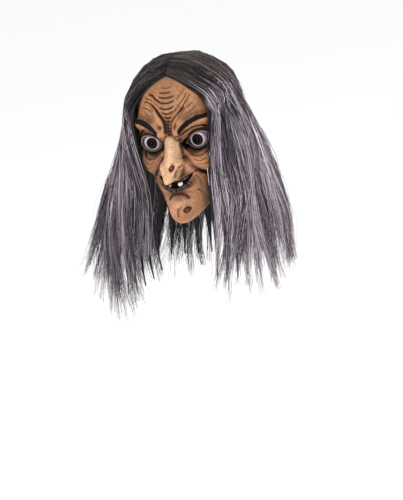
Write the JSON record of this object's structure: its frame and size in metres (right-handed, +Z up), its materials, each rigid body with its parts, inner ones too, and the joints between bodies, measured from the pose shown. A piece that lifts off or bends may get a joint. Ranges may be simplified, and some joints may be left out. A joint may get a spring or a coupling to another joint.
{
  "type": "witch mask with hair",
  "caption": "Overhead rubber hag mask with a hooked nose, glossy bulging eyes, an open grinning mouth, fuzzy brows and long parted grey hair.",
  "frame": {"origin": "inside of the crown of the latex head, where the mask sits on the wearer's head", "axes": "+Z up, -Y the way the face looks, +X towards the wearer's left"},
  "size_m": [0.3585, 0.2539, 0.4381],
  "materials": {
    "latex": "airbrushed tan latex with dark creases, satin",
    "eye_gloss": "painted eyeball under clear gloss",
    "tooth_enamel": "glossy off-white",
    "brow_fuzz": "black fuzzy strip",
    "hair": "long synthetic hair, charcoal roots to mauve grey"
  },
  "bodies": {
    "root": {"latex_head": "latex", "eye_left": "eye_gloss", "eye_right": "eye_gloss", "tooth_large": "tooth_enamel", "tooth_small": "tooth_enamel", "eyebrow_left": "brow_fuzz", "eyebrow_right": "brow_fuzz", "hair_left": "hair", "hair_right": "hair"}
  },
  "joints": []
}
